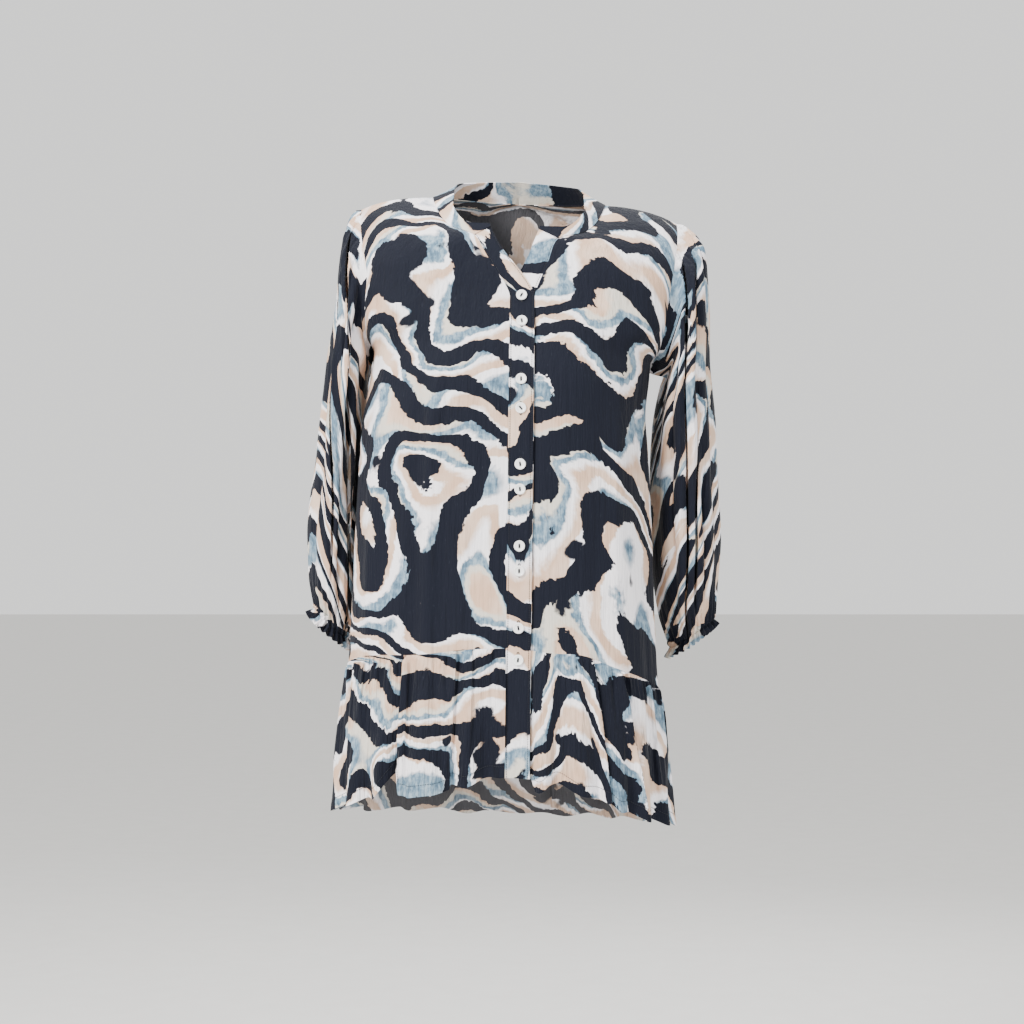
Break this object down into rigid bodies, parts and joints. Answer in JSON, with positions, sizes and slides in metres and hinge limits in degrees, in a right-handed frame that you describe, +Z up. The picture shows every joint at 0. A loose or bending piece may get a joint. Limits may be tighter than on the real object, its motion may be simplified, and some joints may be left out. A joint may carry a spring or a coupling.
{
  "type": "blouse",
  "caption": "Loose worn blouse with a narrow band collar, V neck, button front, full sleeves with frilled elastic cuffs and a gathered ruffle below a low waist seam.",
  "frame": {"origin": "middle of the neck opening at the height of the shoulders, where the garment is carried", "axes": "+Z up, the wearer faces -Y, and the wearer's left is +X"},
  "size_m": [0.5015, 0.3035, 0.7908],
  "materials": {
    "front": "matte crinkled viscose, printed",
    "back": "matte crinkled viscose, printed",
    "sleeve": "matte crinkled viscose, printed",
    "ruffle": "matte crinkled viscose, printed",
    "collar": "matte crinkled viscose, printed",
    "band": "matte crinkled viscose, printed",
    "cuff": "matte crinkled viscose, printed",
    "button": "glossy white"
  },
  "bodies": {
    "root": {"front_right": "front", "front_left": "front", "back": "back", "band_over": "band", "band_under": "band", "collar": "collar", "sleeve_right": "sleeve", "sleeve_left": "sleeve", "cuff_right": "cuff", "cuff_left": "cuff", "ruffle_front_right": "ruffle", "ruffle_front_left": "ruffle", "ruffle_back": "ruffle", "button_1": "button", "button_2": "button", "button_3": "button", "button_4": "button", "button_5": "button", "button_6": "button", "button_7": "button", "button_8": "button", "button_9": "button", "button_10": "button"}
  },
  "joints": []
}
